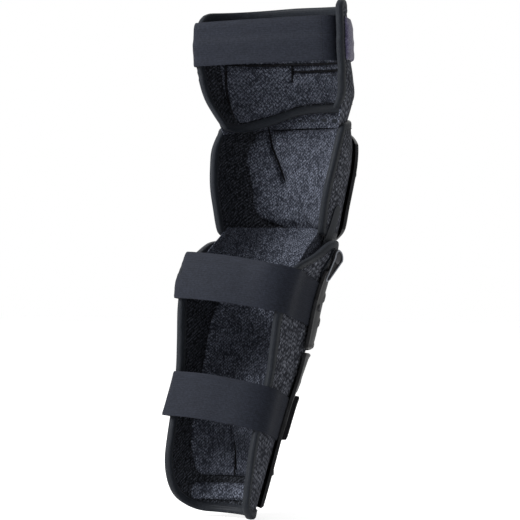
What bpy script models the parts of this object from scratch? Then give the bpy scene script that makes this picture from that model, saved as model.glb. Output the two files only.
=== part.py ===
"""Motorcycle knee and shin guard: a padded thigh cuff, a knee cup and a shin plate that wrap the
front of the leg, open at the back and closed by three elastic straps.

Units are metres. +Z is up, the knee cap faces -Y, and +X is the wearer's left.
The origin is the centre of the knee inside the guard.
"""

import math

import bmesh
import bpy
import numpy as np
from mathutils import Vector

# --- Driving dimensions -------------------------------------------------------------------

FOOT_LEVEL = -0.320  # the lower edge of the shin section, below the knee centre
GAP = 0.0003  # between pieces that touch edge to edge
LAYER_GAP = 0.0009  # between curved layers that lie on each other
NOSE_POWER = 2.4  # squareness of the rounded front

THIGH_TOP = 0.499
THIGH_TOP_DROP = 0.006  # the rim falls by this much towards the back
THIGH_RIM_TURNS = (-1.0, -0.60, -0.20, 0.0, 0.36, 0.75, 1.0)  # the lower rim dips at the left
THIGH_RIM_HEIGHTS = (0.392, 0.3905, 0.3925, 0.3915, 0.3804, 0.3727, 0.376)
KNEE_TOP = 0.388
KNEE_BOTTOM = 0.257

# Height above the lower edge, half width, front, rear edge and length of the rounded nose.
# Front and rear are measured forwards from the knee axis.
THIGH_STATIONS = (
    (0.360, 0.0618, 0.053, 0.008, 0.052),
    (0.378, 0.0638, 0.058, 0.006, 0.053),
    (0.390, 0.0702, 0.066, 0.002, 0.058),
    (0.404, 0.0780, 0.071, -0.001, 0.066),
    (0.424, 0.0822, 0.064, -0.007, 0.070),
    (0.450, 0.0838, 0.054, -0.0118, 0.072),
    (0.475, 0.0836, 0.052, -0.0118, 0.072),
    (0.500, 0.0815, 0.050, -0.0100, 0.070),
)
KNEE_STATIONS = (
    (0.240, 0.0568, 0.050, -0.004, 0.048),
    (0.262, 0.0578, 0.057, -0.006, 0.050),
    (0.274, 0.0607, 0.063, -0.008, 0.055),
    (0.294, 0.0640, 0.067, -0.0093, 0.058),
    (0.316, 0.0680, 0.071, -0.0086, 0.061),
    (0.336, 0.0710, 0.075, -0.0040, 0.064),
    (0.356, 0.0727, 0.076, 0.0024, 0.065),
    (0.372, 0.0718, 0.076, 0.0120, 0.066),
    (0.390, 0.0712, 0.074, 0.0180, 0.066),
)
SHIN_STATIONS = (
    (0.000, 0.0465, -0.088, -0.134, 0.042),
    (0.040, 0.0478, -0.067, -0.127, 0.043),
    (0.074, 0.0484, -0.047, -0.118, 0.044),
    (0.104, 0.0503, -0.031, -0.1066, 0.045),
    (0.134, 0.0523, -0.010, -0.0968, 0.047),
    (0.164, 0.0540, 0.009, -0.0922, 0.049),
    (0.194, 0.0563, 0.020, -0.0876, 0.051),
    (0.214, 0.0585, 0.027, -0.0818, 0.052),
    (0.232, 0.0628, 0.033, -0.0775, 0.053),
    (0.246, 0.0690, 0.041, -0.0740, 0.054),
    (0.264, 0.0700, 0.045, -0.0700, 0.055),
)

WALL = 0.0045  # padded textile walls
SHIN_WALL = 0.0028
ROLL = 0.0038  # radius of the bound edges
SHELL_STANDOFF = 0.0037  # room for webbing between the walls and the hard shells
SHELL_THICKNESS = 0.0024
FRONT_JOIN = 0.46  # share of the half girth taken by the front panel of each section

SHIN_PIVOT = (0.001, 0.245)  # forwards, height
THIGH_PIVOT = (0.018, 0.380)
PIN_RADIUS = 0.0024
PIN_HOLE_RADIUS = 0.0030

STRAP_THICKNESS = 0.0019
CORNER_CLEARANCE = 0.0020  # between a bound edge and the webbing that bends round it
FLANK_OFFSET = 0.0046  # middle of the webbing above the left flank
LEFT_CORNER_RADIUS = 0.050  # lower corners of the shin section
RIGHT_CORNER_RADIUS = 0.016
THIGH_CORNER_RADIUS = 0.012  # upper corners of the thigh section
SHIN_GIRTH_LEVEL = 0.020  # height at which the shin's corners are measured round the girth
ANCHOR_MARGIN = 0.022  # from a strap's sewn end to the right rear edge
BEND_START = 0.014  # from the left rear edge to where the webbing starts to bend
HIDDEN_TURN = 0.52  # where a strap's sewn end disappears under the shells
TAB_MARGIN = 0.10  # turn between the webbing's bend and the hook tab

# --- Materials ------------------------------------------------------------------------------

COLOURS = {
    "mesh_lining": ((0.040, 0.043, 0.056), 0.90, 0.0),
    "outer_mesh": ((0.055, 0.058, 0.070), 0.85, 0.0),
    "foam": ((0.012, 0.013, 0.017), 0.95, 0.0),
    "binding": ((0.020, 0.022, 0.030), 0.60, 0.0),
    "webbing": ((0.030, 0.034, 0.047), 0.80, 0.0),
    "hard_plastic": ((0.010, 0.010, 0.012), 0.35, 0.0),
    "loop_pile": ((0.060, 0.055, 0.090), 1.00, 0.0),
    "hook_tape": ((0.012, 0.012, 0.015), 0.70, 0.0),
    "rivet": ((0.050, 0.050, 0.055), 0.30, 0.8),
}


def material(name):
    """The Principled material of one kind of surface, made once."""
    if name in bpy.data.materials:
        return bpy.data.materials[name]
    colour, roughness, metallic = COLOURS[name]
    made = bpy.data.materials.new(name)
    made.use_nodes = True
    shader = made.node_tree.nodes["Principled BSDF"]
    shader.inputs["Base Color"].default_value = (*colour, 1.0)
    shader.inputs["Roughness"].default_value = roughness
    shader.inputs["Metallic"].default_value = metallic
    return made


# --- The curved surface of a section --------------------------------------------------------


def smooth(at, places, values):
    """A cubic curve through the given values, held constant beyond both ends."""
    at = min(max(at, places[0]), places[-1])
    slopes = np.gradient(values, places)
    k = min(int(np.searchsorted(places, at, side="right")) - 1, len(places) - 2)
    step = places[k + 1] - places[k]
    t = (at - places[k]) / step
    start = (1 + 2 * t) * (1 - t) ** 2 * values[k] + t * (1 - t) ** 2 * step * slopes[k]
    end = t * t * (3 - 2 * t) * values[k + 1] + t * t * (t - 1) * step * slopes[k + 1]
    return float(start + end)


class Section:
    """An open-backed U round the leg: straight flanks and a rounded nose at every height."""

    def __init__(self, stations):
        columns = np.array(stations).T
        self.heights = columns[0]
        self.values = columns[1:]

    def sizes(self, height):
        half_width, front, rear, nose = (smooth(height, self.heights, v) for v in self.values)
        return half_width, front - nose, rear, nose

    def outline(self, height):
        """Turning angle round the nose and distance forwards, from the front to the rear edge."""
        half_width, centre, rear, nose = self.sizes(height)
        angles = np.linspace(0.0, math.pi / 2, 121)
        across = half_width * np.sin(angles) ** (2 / NOSE_POWER)
        forward = centre + nose * np.cos(angles) ** (2 / NOSE_POWER)
        keep = forward >= rear
        angles, across, forward = angles[keep], across[keep], forward[keep]
        if rear < centre:
            angles = np.append(angles, math.pi / 2)
            across = np.append(across, half_width)
            forward = np.append(forward, rear)
        girth = np.append(0.0, np.cumsum(np.hypot(np.diff(across), np.diff(forward))))
        return angles, forward, girth

    def point(self, turn, height, offset=0.0):
        """turn runs from -1 at the right rear edge through 0 at the front to 1 at the left."""
        half_width, centre, _, nose = self.sizes(height)
        angles, forward, girth = self.outline(height)
        along = abs(turn) * girth[-1]
        angle = float(np.interp(along, girth, angles))
        if angle > math.pi / 2 - 1e-6:
            across = half_width + offset
            ahead = float(np.interp(along, girth, forward))
        else:
            across = (half_width + offset) * math.sin(angle) ** (2 / NOSE_POWER)
            ahead = centre + (nose + offset) * math.cos(angle) ** (2 / NOSE_POWER)
        return Vector((math.copysign(across, turn), -ahead, height + FOOT_LEVEL))

    def flank(self, side, ahead, height, offset=0.0):
        """The surface point at a distance ahead of the knee axis, on the side +1 or -1."""
        half_width, centre, _, nose = self.sizes(height)
        share = max(0.0, (ahead - centre) / (nose + offset))
        across = (half_width + offset) * (1 - min(share, 0.999) ** NOSE_POWER) ** (1 / NOSE_POWER)
        return Vector((side * across, -ahead, height + FOOT_LEVEL))

    def half_girth(self, height):
        return float(self.outline(height)[2][-1])


THIGH = Section(THIGH_STATIONS)
KNEE = Section(KNEE_STATIONS)
SHIN = Section(SHIN_STATIONS)

# --- Building blocks ------------------------------------------------------------------------


def add_object(name, mesh, finish, body, smooth_angle=40):
    bmesh.ops.recalc_face_normals(mesh, faces=mesh.faces)
    data = bpy.data.meshes.new(name)
    mesh.to_mesh(data)
    mesh.free()
    data.materials.append(material(finish))
    data.shade_smooth()
    data.set_sharp_from_angle(angle=math.radians(smooth_angle))
    made = bpy.data.objects.new(name, data)
    bpy.context.scene.collection.objects.link(made)
    made.parent = body
    made.location = -body.location
    return made


def sheet(name, outer, inner, finish, body):
    """A closed solid between two matching grids of points."""
    mesh = bmesh.new()
    skins = [[[mesh.verts.new(p) for p in row] for row in grid] for grid in (outer, inner)]
    rows, columns = len(outer), len(outer[0])
    for skin in skins:
        for r in range(rows - 1):
            for c in range(columns - 1):
                mesh.faces.new((skin[r][c], skin[r][c + 1], skin[r + 1][c + 1], skin[r + 1][c]))
    front, back = skins
    for c in range(columns - 1):
        for r in (0, rows - 1):
            mesh.faces.new((front[r][c], front[r][c + 1], back[r][c + 1], back[r][c]))
    for r in range(rows - 1):
        for c in (0, columns - 1):
            mesh.faces.new((front[r][c], front[r + 1][c], back[r + 1][c], back[r][c]))
    return add_object(name, mesh, finish, body)


def panel(name, section, turns, rows, low, high, inner, outer, finish, body):
    """A piece of a section's wall. The rims and the two offsets may be functions of the turn."""

    def value(of, *at):
        return of(*at) if callable(of) else of

    def grid(offset):
        made = []
        for r in range(rows + 1):
            row = []
            for turn in turns:
                share = r / rows
                height = value(low, turn) * (1 - share) + value(high, turn) * share
                row.append(section.point(turn, height, value(offset, turn, share)))
            made.append(row)
        return made

    return sheet(name, grid(outer), grid(inner), finish, body)


def tube(name, path, radius, finish, body, sides=6):
    """A round cord along a path, with flat ends."""
    mesh = bmesh.new()
    rings = []
    along = (path[1] - path[0]).normalized()
    across = along.orthogonal().normalized()
    for k, place in enumerate(path):
        before, after = path[max(k - 1, 0)], path[min(k + 1, len(path) - 1)]
        along = (after - before).normalized()
        across = (across - along * across.dot(along)).normalized()
        third = along.cross(across)
        ring = []
        for n in range(sides):
            angle = 2 * math.pi * n / sides
            spoke = across * math.cos(angle) + third * math.sin(angle)
            ring.append(mesh.verts.new(place + spoke * radius))
        rings.append(ring)
    for ring, following in zip(rings, rings[1:]):
        for n in range(sides):
            m = (n + 1) % sides
            mesh.faces.new((ring[n], ring[m], following[m], following[n]))
    mesh.faces.new(rings[0])
    mesh.faces.new(rings[-1])
    return add_object(name, mesh, finish, body, 50)


def turned(name, centre, side, profile, finish, body, sides=20):
    """A round part on an axis along X. The profile lists (radius, distance outwards)."""
    mesh = bmesh.new()
    rings = []
    for radius, out in profile:
        ring = []
        for n in range(sides):
            angle = 2 * math.pi * n / sides
            spoke = Vector((side * out, radius * math.cos(angle), radius * math.sin(angle)))
            ring.append(mesh.verts.new(centre + spoke))
        rings.append(ring)
    for ring, following in zip(rings, rings[1:]):
        for n in range(sides):
            m = (n + 1) % sides
            mesh.faces.new((ring[n], ring[m], following[m], following[n]))
    mesh.faces.new(rings[0])
    mesh.faces.new(rings[-1])
    return add_object(name, mesh, finish, body)


def drill(target, centre, radius):
    """Cuts a round hole along X through a piece."""
    mesh = bmesh.new()
    bmesh.ops.create_cone(mesh, cap_ends=True, segments=16, radius1=radius, radius2=radius, depth=0.03)
    data = bpy.data.meshes.new("drill")
    mesh.to_mesh(data)
    mesh.free()
    cutter = bpy.data.objects.new("drill_" + target.name, data)
    bpy.context.scene.collection.objects.link(cutter)
    cutter.rotation_euler = (0.0, math.pi / 2, 0.0)
    cutter.location = centre
    cutter.hide_render = True
    cutter.display_type = "WIRE"
    cut = target.modifiers.new("hole", "BOOLEAN")
    cut.operation = "DIFFERENCE"
    cut.solver = "EXACT"
    cut.object = cutter


def slat(name, section, side, start, end, radius, inner, outer, finish, body):
    """A flat bar with round ends that lies on a flank between two (ahead, height) places."""
    start, end = Vector(start), Vector(end)
    along = (end - start).normalized()
    across = Vector((-along.y, along.x))
    length = (end - start).length
    end_angles = [math.radians(a) for a in (12, 32, 55, 80)]
    stops = [(-radius * math.cos(a), radius * math.sin(a)) for a in end_angles]
    stops += [(length * k / 3, radius) for k in range(1, 3)]
    stops += [(length + radius * math.cos(a), radius * math.sin(a)) for a in reversed(end_angles)]

    def grid(offset):
        made = []
        for distance, half in stops:
            row = []
            for k in range(5):
                place = start + along * distance + across * half * (k / 2 - 1)
                row.append(section.flank(side, place.x, place.y, offset))
            made.append(row)
        return made

    return sheet(name, grid(outer), grid(inner), finish, body)


def at(place, across=0.0):
    """World position of an (ahead, height) place."""
    return Vector((across, -place[0], place[1] + FOOT_LEVEL))


def spread(start, end, count):
    return [float(v) for v in np.linspace(start, end, count)]


def body_frame(name, place):
    """The empty that a body's pieces hang on, placed on its joint's axis."""
    empty = bpy.data.objects.new(name, None)
    empty.location = place
    bpy.context.scene.collection.objects.link(empty)
    return empty


# --- Rims -----------------------------------------------------------------------------------


def rounded_drop(distance, radius, inset):
    """How far a rim retreats at a distance from a vertical edge, round a corner."""
    if distance >= radius:
        return inset
    reach = max((radius - inset) ** 2 - (radius - distance) ** 2, 0.0)
    return radius - math.sqrt(reach)


def thigh_low(turn, inset=0.0):
    return smooth(turn, THIGH_RIM_TURNS, THIGH_RIM_HEIGHTS) + inset


def thigh_high(turn, inset=0.0):
    distance = (1 - abs(turn)) * THIGH.half_girth(THIGH_TOP)
    drop = THIGH_TOP_DROP * abs(turn) ** 1.5
    return THIGH_TOP - drop - rounded_drop(distance, THIGH_CORNER_RADIUS, inset)


def knee_low(turn, inset=0.0):
    return KNEE_BOTTOM + 0.011 * turn * turn + inset


def knee_high(turn, inset=0.0):
    return KNEE_TOP - 0.010 * turn * turn - inset


def shin_low(turn, inset=0.0):
    radius = LEFT_CORNER_RADIUS if turn > 0 else RIGHT_CORNER_RADIUS
    distance = (1 - abs(turn)) * SHIN.half_girth(SHIN_GIRTH_LEVEL)
    return rounded_drop(distance, radius, inset)


SHIN_RIM_TURNS = np.array((0.0, 0.32, 0.44, 0.58, 0.78, 0.92, 1.0))
SHIN_RIM_HEIGHTS = np.array((0.252, 0.252, 0.261, 0.262, 0.248, 0.239, 0.230))


def shin_high(turn, inset=0.0):
    return smooth(abs(turn), SHIN_RIM_TURNS, SHIN_RIM_HEIGHTS) - inset


def rear_inset(section, height, inset):
    """The turn that stays a distance clear of the rear edge."""
    return 1 - inset / section.half_girth(height)


# --- Walls and bound edges ------------------------------------------------------------------

PANEL_INSET = 2 * ROLL + 0.0024  # the walls stop short of their bound edges


def section_walls(label, section, low, high, wall, body, grid):
    """Front panel and two wings, whose free edges leave room for the bound edges."""
    rows, front_columns, wing_columns = grid
    middle = (low(1.0) + high(1.0)) / 2
    last = rear_inset(section, middle, PANEL_INSET)
    seam = GAP / 2 / section.half_girth(middle)

    def lower(turn):
        return low(turn, PANEL_INSET)

    def upper(turn):
        return high(turn, PANEL_INSET)

    def wall_panel(part, turns):
        name = label + part
        return panel(name, section, turns, rows, lower, upper, -wall, 0.0, "outer_mesh", body)

    wall_panel("_front_panel", spread(seam - FRONT_JOIN, FRONT_JOIN - seam, front_columns))
    wing = spread(FRONT_JOIN + seam, last, wing_columns)
    return [wall_panel("_wing_" + side_label, [side * t for t in wing]) for side_label, side in SIDES]


def bound_edge(name, section, side, low, high, wall, body, lower_turns, upper_turns, rows):
    """A bound edge: along the lower rim, up the rear edge and along the upper rim."""
    last = rear_inset(section, (low(1.0) + high(1.0)) / 2, ROLL)
    places = [(turn, low(side * turn, ROLL)) for turn in lower_turns]
    places += [(last, height) for height in
               spread(low(side * last, ROLL), high(side * last, ROLL), rows)]
    places += [(turn, high(side * turn, ROLL)) for turn in upper_turns]
    path = [section.point(side * turn, height, -wall / 2) for turn, height in places]
    return tube(name, path, ROLL, "binding", body)


def bound_rim(name, section, reach, count, edge, wall, body):
    """A bound rim across the front."""
    path = [section.point(turn, edge(turn, ROLL), -wall / 2) for turn in spread(-reach, reach, count)]
    return tube(name, path, ROLL, "binding", body)


def corner_turns(section, height, radius, count):
    """Turns from the start of a rounded corner almost to the rear edge."""
    girth = section.half_girth(height)
    return spread(1 - radius / girth, 1 - 1.35 * ROLL / girth, count)


def domed(turn, share, reach, crispness):
    """1 over the middle of a pad, falling to 0 at its edges."""
    across = math.cos(min(abs(turn) / reach, 1.0) * math.pi / 2) ** 0.5
    return across * min(1.0, crispness * share, crispness * (1 - share))


SIDES = (("left", 1), ("right", -1))
RIM_REACH = FRONT_JOIN - 0.045


def thigh_section(body):
    section_walls("thigh", THIGH, thigh_low, thigh_high, WALL, body, (6, 13, 7))
    lower = [FRONT_JOIN, 0.60, 0.74, 0.84, 0.91]
    corner = corner_turns(THIGH, THIGH_TOP, THIGH_CORNER_RADIUS, 4)
    upper = [*reversed(corner), 0.75, 0.60, FRONT_JOIN]
    for label, side in SIDES:
        bound_edge("thigh_binding_" + label, THIGH, side, thigh_low, thigh_high, WALL, body,
                   lower, upper, 9)
    bound_rim("thigh_binding_top", THIGH, RIM_REACH, 11, thigh_high, WALL, body)
    bound_rim("thigh_binding_bottom", THIGH, RIM_REACH, 13, thigh_low, WALL, body)

    def cushion(turn, share):
        return -WALL - 0.0040 - 0.005 * domed(turn, share, 1.0, 4)

    panel("thigh_lining", THIGH, spread(-0.82, 0.82, 17), 5, lambda turn: thigh_low(turn, 0.013),
          lambda turn: thigh_high(turn, 0.013), cushion, -WALL - 2.5 * LAYER_GAP, "mesh_lining", body)
    panel("thigh_loop_patch", THIGH, spread(-0.46, -0.16, 7), 3, 0.440, 0.484,
          LAYER_GAP, 0.0042, "loop_pile", body)


def knee_section(body):
    section_walls("knee", KNEE, knee_low, knee_high, WALL, body, (6, 13, 6))
    for label, side in SIDES:
        bound_edge("knee_binding_" + label, KNEE, side, knee_low, knee_high, WALL, body, [], [], 10)
    bound_rim("knee_binding_top", KNEE, RIM_REACH, 13, knee_high, WALL, body)
    bound_rim("knee_binding_bottom", KNEE, RIM_REACH - 0.08, 11, knee_low, WALL, body)
    low, high = KNEE_BOTTOM + 0.014, KNEE_TOP - 0.012
    panel("knee_pad", KNEE, spread(-0.44, 0.30, 12), 7, low, high,
          lambda turn, share: -WALL - 0.0035 - 0.008 * domed(turn, share, 0.46, 5),
          -WALL - 2 * LAYER_GAP, "mesh_lining", body)
    panel("knee_pad_lobe", KNEE, spread(0.34, 0.50, 5), 5, low + 0.024, high - 0.006,
          lambda turn, share: -WALL - 0.0035 - 0.004 * domed(0.0, share, 1.0, 3),
          -WALL - 2 * LAYER_GAP, "mesh_lining", body)


def shin_section(body):
    wings = section_walls("shin", SHIN, shin_low, shin_high, SHIN_WALL, body, (11, 13, 10))
    for wing, (label, side) in zip(wings, SIDES):
        drill(wing, at(SHIN_PIVOT, side * 0.066), PIN_HOLE_RADIUS)
        radius = LEFT_CORNER_RADIUS if side > 0 else RIGHT_CORNER_RADIUS
        corner = corner_turns(SHIN, SHIN_GIRTH_LEVEL, radius, 7)
        lower = [FRONT_JOIN, *(turn for turn in corner if turn > FRONT_JOIN + 0.03)]
        upper = [0.95, 0.88, 0.80, 0.72, 0.64]
        bound_edge("shin_binding_" + label, SHIN, side, shin_low, shin_high, SHIN_WALL, body,
                   lower, upper, 12)
    bound_rim("shin_binding_bottom", SHIN, RIM_REACH, 11, shin_low, SHIN_WALL, body)
    bound_rim("shin_binding_top", SHIN, 0.30, 9, shin_high, SHIN_WALL, body)
    panel("shin_pad", SHIN, spread(-0.54, 0.54, 15), 10, 0.045, 0.234,
          lambda turn, share: -SHIN_WALL - 0.003 - 0.010 * domed(turn, share, 0.56, 9),
          -SHIN_WALL - LAYER_GAP, "mesh_lining", body)
    panel("shin_pad_foot", SHIN, spread(-0.54, 0.54, 13), 3, 0.014, 0.040,
          lambda turn, share: -SHIN_WALL - 0.003 - 0.003 * domed(turn, share, 0.6, 3),
          -SHIN_WALL - LAYER_GAP, "mesh_lining", body)


# --- Hard shells and the knee pivot ---------------------------------------------------------


def hard_shells(knee, shin):
    inside, outside = SHELL_STANDOFF, SHELL_STANDOFF + SHELL_THICKNESS

    def knee_shell_low(turn):
        return 0.250 + 0.024 * max(0.0, abs(turn) - 0.24) / 0.36

    def knee_shell_high(turn):
        return 0.379 - 0.020 * max(0.0, abs(turn) - 0.36) / 0.24

    panel("knee_shell", KNEE, spread(-0.60, 0.60, 17), 8, knee_shell_low, knee_shell_high,
          inside, outside, "hard_plastic", knee)
    panel("knee_shell_foam", KNEE, spread(-0.36, 0.36, 11), 5, 0.284, 0.356,
          LAYER_GAP, SHELL_STANDOFF - LAYER_GAP, "foam", knee)

    def shin_upper_low(turn):
        return 0.150 + 0.012 * abs(turn)

    def shin_upper_high(turn):
        return 0.243 - 0.018 * abs(turn)

    def shin_lower_high(turn):
        return shin_upper_low(turn) - 0.004

    panel("shin_shell_upper", SHIN, spread(-0.58, 0.58, 17), 6, shin_upper_low, shin_upper_high,
          inside, outside, "hard_plastic", shin)
    panel("shin_shell_lower", SHIN, spread(-0.58, 0.58, 17), 8, 0.004, shin_lower_high,
          inside, outside - 0.0004, "hard_plastic", shin)
    for label, low, high in (("upper", 0.166, 0.222), ("lower", 0.020, 0.130)):
        panel("shin_shell_foam_" + label, SHIN, spread(-0.28, 0.28, 9), 5, low, high,
              LAYER_GAP + 0.0002, SHELL_STANDOFF - LAYER_GAP - 0.0002, "foam", shin)
    panel("shin_loop_pad", SHIN, spread(-0.44, -0.20, 5), 3, 0.069, 0.110,
          outside + LAYER_GAP - 0.0004, outside + 0.0052, "hook_tape", shin)


def pivots(knee, shin):
    ahead, height = SHIN_PIVOT
    for label, side in SIDES:
        link = slat("knee_link_" + label, KNEE, side, SHIN_PIVOT, (0.016, 0.290), 0.0070,
                    0.0008, 0.0019, "hard_plastic", knee)
        drill(link, at(SHIN_PIVOT, side * 0.060), PIN_HOLE_RADIUS)
        arm = slat("shin_arm_" + label, SHIN, side, SHIN_PIVOT, (ahead - 0.006, height - 0.014),
                   0.0095, 0.0010, 0.0028, "hard_plastic", shin)
        drill(arm, at(SHIN_PIVOT, side * 0.068), PIN_HOLE_RADIUS)
        inner = KNEE.flank(1, ahead, height).x - 0.0004
        outer = SHIN.flank(1, ahead - 0.007, height + 0.007, 0.0028).x + 0.0004
        profile = ((0.0052, inner - 0.0016), (0.0056, inner - 0.0004), (0.0056, inner),
                   (PIN_RADIUS, inner), (PIN_RADIUS, outer), (0.0062, outer),
                   (0.0062, outer + 0.0006), (0.0040, outer + 0.0018))
        turned("pivot_pin_" + label, at(SHIN_PIVOT), side, profile, "rivet", shin)


# --- Straps ---------------------------------------------------------------------------------


class Strap:
    """Webbing whose middle line lies in a plane, tipped forwards and sideways."""

    def __init__(self, label, section, rim, wall, height, half_width, rear, slopes, bulge, slack, tab_turn,
                 flare):
        self.label = label
        self.section = section
        self.rim = rim  # the upper rim of the section, which the webbing may bend round
        self.wall = wall
        self.height = height
        self.half_width = half_width
        self.rear = rear
        self.forward_slope, self.side_slope = slopes
        self.bulge = bulge
        self.slack = slack  # how far the lower edge stands off at the left
        self.tab_turn = tab_turn  # front end of the hook tab
        self.flare = flare  # thickening of the landing patch at its front end
        self.bend_turn = rear_inset(section, height, BEND_START)

    def middle(self, place):
        """Height of the middle line above the lower edge, over an (x, y) place."""
        back = place.y - self.rear
        return self.height + self.forward_slope * back + self.side_slope * place.x

    def on_surface(self, turn, level, offset):
        """A point on the section, level from -1 at the strap's lower edge to 1 at its upper."""
        height = self.height
        for _ in range(6):
            spot = self.section.point(turn, height, offset)
            height = self.middle(spot) + level * self.half_width
        return self.section.point(turn, height, offset)

    def roll_centre(self, side, level):
        """Centre of the bound edge beside the strap: the rear edge, or the rim above it."""
        height = self.height
        for _ in range(8):
            turn = rear_inset(self.section, height, ROLL)
            while side > 0 and self.rim(turn, ROLL) < height and turn > 0.90:
                turn -= 0.002
            spot = self.section.point(side * turn, height, -self.wall / 2)
            height = self.middle(spot) + level * self.half_width
        return spot

    def stand_off(self, turn):
        """How far the landing patch lifts the webbing off the left flank."""
        share = (self.bend_turn - turn) / (self.bend_turn - self.tab_turn)
        return self.flare * min(max(share, 0.0), 1.0)

    def hinge(self):
        """A point on the gate's axis and the axis itself, along the right rear edge."""
        low, high = self.roll_centre(-1, -1.0), self.roll_centre(-1, 1.0)
        return (low + high) / 2, (high - low).normalized()


def strap_pieces(strap, anchor_body, gate_body):
    section = strap.section
    levels = spread(-1.0, 1.0, 4)
    half = STRAP_THICKNESS / 2
    reach = ROLL + CORNER_CLEARANCE + half  # middle of the webbing round a bound edge

    def layers(name, turns, outer, inner, width, finish, body):
        grids = [[[strap.on_surface(turn, level * width, offset(turn)) for turn in turns]
                  for level in levels] for offset in (outer, inner)]
        return sheet(strap.label + name, grids[0], grids[1], finish, body)

    anchor_end = rear_inset(section, strap.height, ANCHOR_MARGIN)
    layers("_strap_anchor", [-turn for turn in spread(HIDDEN_TURN, anchor_end, 7)],
           lambda turn: 1.2 * LAYER_GAP + STRAP_THICKNESS, lambda turn: 1.2 * LAYER_GAP,
           1.0, "webbing", anchor_body)
    flank = spread(strap.bend_turn, strap.tab_turn, 6)

    def row(level, shift):
        right, left = strap.roll_centre(-1, level), strap.roll_centre(1, level)
        slack = strap.slack * (1 - level) / 2
        path = []
        for share in spread(0.0, 1.0, 11):
            back = reach + shift + strap.bulge * math.sin(math.pi * share)
            rise = strap.forward_slope * strap.bulge * math.sin(math.pi * share)
            path.append(right.lerp(left, share) + Vector((slack * share, back, rise)))
        side_out = section.point(flank[0], strap.height, FLANK_OFFSET).x
        side_out += shift - strap.roll_centre(1, 0.0).x
        for angle in (30, 60, 90):
            turn = math.radians(angle)
            path.append(left + Vector((math.sin(turn) * max(side_out, reach + shift) + slack,
                                       math.cos(turn) * (reach + shift), 0.0)))
        path += [strap.on_surface(turn, level, FLANK_OFFSET + shift + strap.stand_off(turn))
                 for turn in flank]
        return path

    outer = [row(level, half) for level in levels]
    inner = [row(level, -half) for level in levels]
    sheet(strap.label + "_strap", outer, inner, "webbing", gate_body)
    tab_turns = spread(strap.tab_turn, flank[0] - TAB_MARGIN, 5)
    inner_face = FLANK_OFFSET - half
    layers("_hook_tab", tab_turns, lambda turn: inner_face - GAP + strap.stand_off(turn),
           lambda turn: inner_face - 0.0012 + strap.stand_off(turn), 0.92, "hook_tape", gate_body)
    layers("_landing_patch", tab_turns, lambda turn: 0.0018 + strap.stand_off(turn),
           lambda turn: 1.3 * LAYER_GAP, 0.96, "loop_pile", anchor_body)


STRAPS = (
    Strap("thigh", THIGH, thigh_high, WALL, 0.461, 0.0220, 0.012, (0.0, 0.0), 0.004, 0.001,
          0.70, 0.0085),
    Strap("upper_calf", SHIN, shin_high, SHIN_WALL, 0.2215, 0.0220, 0.082, (0.28, 0.083), 0.010,
          0.003, 0.62, 0.0004),
    Strap("lower_calf", SHIN, shin_high, SHIN_WALL, 0.1107, 0.0235, 0.108, (0.36, 0.120), 0.010,
          0.008, 0.62, 0.0),
)


def rivets(knee, shin):
    """Flat-headed rivets that hold the hard shells to the walls."""
    places = (
        ("knee", KNEE, knee, 0.0042, (0.030, 0.330)),
        ("shin_upper", SHIN, shin, 0.0042, (-0.012, 0.196)),
        ("shin_lower", SHIN, shin, 0.0042, (-0.098, 0.040)),
    )
    outside = SHELL_STANDOFF + SHELL_THICKNESS + 0.0004
    for label, section, body, radius, place in places:
        for side_label, side in SIDES:
            out = section.flank(1, place[0] - radius, place[1] + radius, outside).x + 0.0004
            profile = ((radius, out), (radius, out + 0.0006), (radius * 0.6, out + 0.0013))
            turned(label + "_rivet_" + side_label, at(place), side, profile, "rivet", body, 12)


def main():
    for old in list(bpy.data.objects):
        bpy.data.objects.remove(old, do_unlink=True)
    knee = body_frame("knee_body", Vector((0.0, 0.0, 0.0)))
    thigh = body_frame("thigh_body", at(THIGH_PIVOT))
    shin = body_frame("shin_body", at(SHIN_PIVOT))
    thigh_section(thigh)
    knee_section(knee)
    shin_section(shin)
    hard_shells(knee, shin)
    pivots(knee, shin)
    rivets(knee, shin)
    for strap in STRAPS:
        wearer = thigh if strap.section is THIGH else shin
        gate = body_frame(strap.label + "_strap_body", strap.hinge()[0])
        strap_pieces(strap, wearer, gate)


main()
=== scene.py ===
import math
from dataclasses import dataclass

import bmesh
import bpy
import numpy as np
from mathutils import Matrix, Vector, noise


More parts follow.
